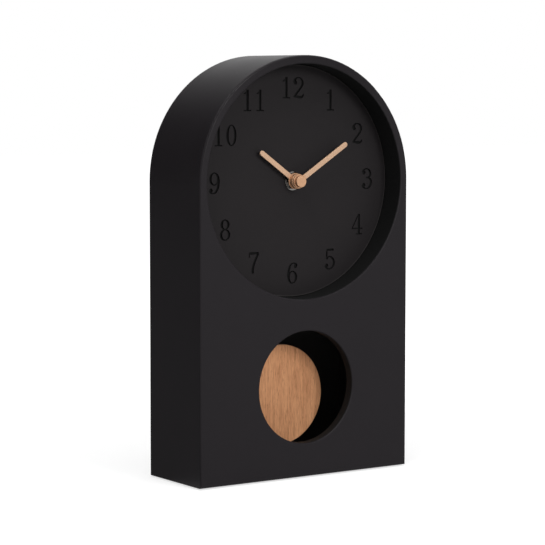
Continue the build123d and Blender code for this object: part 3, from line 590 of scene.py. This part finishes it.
def stage_sheet(name, corners, finish, seen):
    """Flat four-cornered piece of the stage, in the picture or only in the gloss of the clock."""
    mesh = bpy.data.meshes.new(name)
    mesh.from_pydata(corners, [], [(0, 1, 2, 3)])
    mesh.materials.append(finish.owner)
    piece = bpy.data.objects.new(name, mesh)
    piece.visible_camera = seen
    piece.visible_diffuse = seen
    piece.visible_shadow = seen
    bpy.context.scene.collection.objects.link(piece)


def card(name, grey):
    """Finish of a matt card that shows this grey in the gloss of the clock."""
    return Finish(name, Base_Color=(0.02, 0.02, 0.02, 1), Roughness=0.9, Specular_IOR_Level=0.0,
                  Emission_Color=(grey, grey, grey, 1), Emission_Strength=1.0)


def standing_card(name, start, end, height):
    """Upright black card over a line on the floor."""
    stage_sheet(name, [(*start, 0), (*end, 0), (*end, height), (*start, height)], black_card, False)


floor_half = 6.0
whitening_start_mm = 200
whitening_end_mm = 900
floor_corners = [(-floor_half, -floor_half, 0), (floor_half, -floor_half, 0), (floor_half, floor_half, 0),
                 (-floor_half, floor_half, 0)]
paper = Finish("pale_floor", Base_Color=(0.50, 0.50, 0.50, 1), Roughness=0.9, Specular_IOR_Level=0.0)
distant = paper.step(paper.reach((1, 1, 0)), whitening_start_mm, whitening_end_mm)
paper.set(Emission_Color=paper.mix(distant, (0.62, 0.62, 0.62), (1.0, 1.0, 1.0)),
          Emission_Strength=looked_at(paper))
stage_sheet("stage_floor", floor_corners, paper, True)

black_card = card("black_card", grey=0.06)
grey_card = card("grey_card", grey=0.34)
card_left = -0.55
card_right = 0.55
card_rear = 1.90
card_lift = 0.001
flag_front = -0.10
standing_card("stage_card_left", (card_left, 0.05), (card_left, card_rear), height=1.35)
standing_card("stage_card_rear", (card_left, card_rear), (0.05, card_rear), height=2.20)
standing_card("stage_card_right", (card_right, -0.20), (card_right, 0.72), height=0.55)
lying_corners = [(card_left, -0.15, card_lift), (-0.11, -0.05, card_lift), (0.215, 0.90, card_lift),
                 (card_left, 0.90, card_lift)]
stage_sheet("stage_card_floor", lying_corners, grey_card, False)
flag_corners = [(-0.04, flag_front, 0.319), (0.13, flag_front, 0.269), (0.15, flag_front, 0.355),
                (-0.04, flag_front, 0.375)]
stage_sheet("stage_card_flag", flag_corners, black_card, False)


# Light: a soft key in front of the clock and above it, a wide soft box overhead that draws the upper
# edges, a lamp at the upper left for the front's outer edge, a weak one behind for the arch, and a white
# room that lights softly from all round and shows as pure white. In metres and watts.


def lamp(name, place, wide, high, watts):
    """Rectangular soft lamp at a place, facing the middle of the clock."""
    light = bpy.data.lights.new(name, "AREA")
    light.shape = "RECTANGLE"
    light.size = wide
    light.size_y = high
    light.energy = watts
    holder = bpy.data.objects.new(name, light)
    holder.location = place
    holder.rotation_euler = (clock_middle - holder.location).to_track_quat("-Z", "Y").to_euler()
    bpy.context.scene.collection.objects.link(holder)


room_light = 0.30
room = Finish("white_room", bpy.data.worlds, "Background", Color=(1, 1, 1, 1))
room_levels = {"Value": looked_at(room), "To Min": room_light, "To Max": 1.0}
room.set(Strength=room.node("ShaderNodeMapRange", {}, room_levels))
bpy.context.scene.world = room.owner

clock_middle = Vector((0, 0, 0.16))
lamp("key", place=(0.28, -1.70, 0.85), wide=0.6, high=0.6, watts=16)
lamp("top", place=(0.05, -0.30, 1.45), wide=2.0, high=0.9, watts=11)
lamp("edge", place=(-0.92, -0.58, 1.38), wide=0.6, high=0.6, watts=8)
lamp("rear", place=(0.90, 1.50, 0.85), wide=0.8, high=0.6, watts=1.4)


# Camera: a long lens a little above the middle of the clock, to its left, turned by a fraction of a
# degree. Lens and sensor are in millimetres, other lengths in metres.

lens = 145.28
sensor = 36.0
distance = 1.55468
azimuth = math.radians(34.151)
elevation = math.radians(5.0)
roll = math.radians(0.036)
target = Vector((0, -0.034, 0.150))
aside = -0.02424
lift = -0.00310
ahead = Vector((math.sin(azimuth) * math.cos(elevation), math.cos(azimuth) * math.cos(elevation),
                -math.sin(elevation)))
level_right = Vector((math.cos(azimuth), -math.sin(azimuth), 0))
level_up = level_right.cross(ahead)
right = math.cos(roll) * level_right + math.sin(roll) * level_up
up = math.cos(roll) * level_up - math.sin(roll) * level_right
eye = target + aside * right + lift * up - distance * ahead
camera_data = bpy.data.cameras.new("camera")
camera_data.lens = lens
camera_data.sensor_width = sensor
camera = bpy.data.objects.new("camera", camera_data)
camera.matrix_world = Matrix.Translation(eye) @ Matrix((right, up, -ahead)).transposed().to_4x4()
bpy.context.scene.collection.objects.link(camera)
bpy.context.scene.camera = camera
bpy.context.scene.view_settings.view_transform = "Standard"
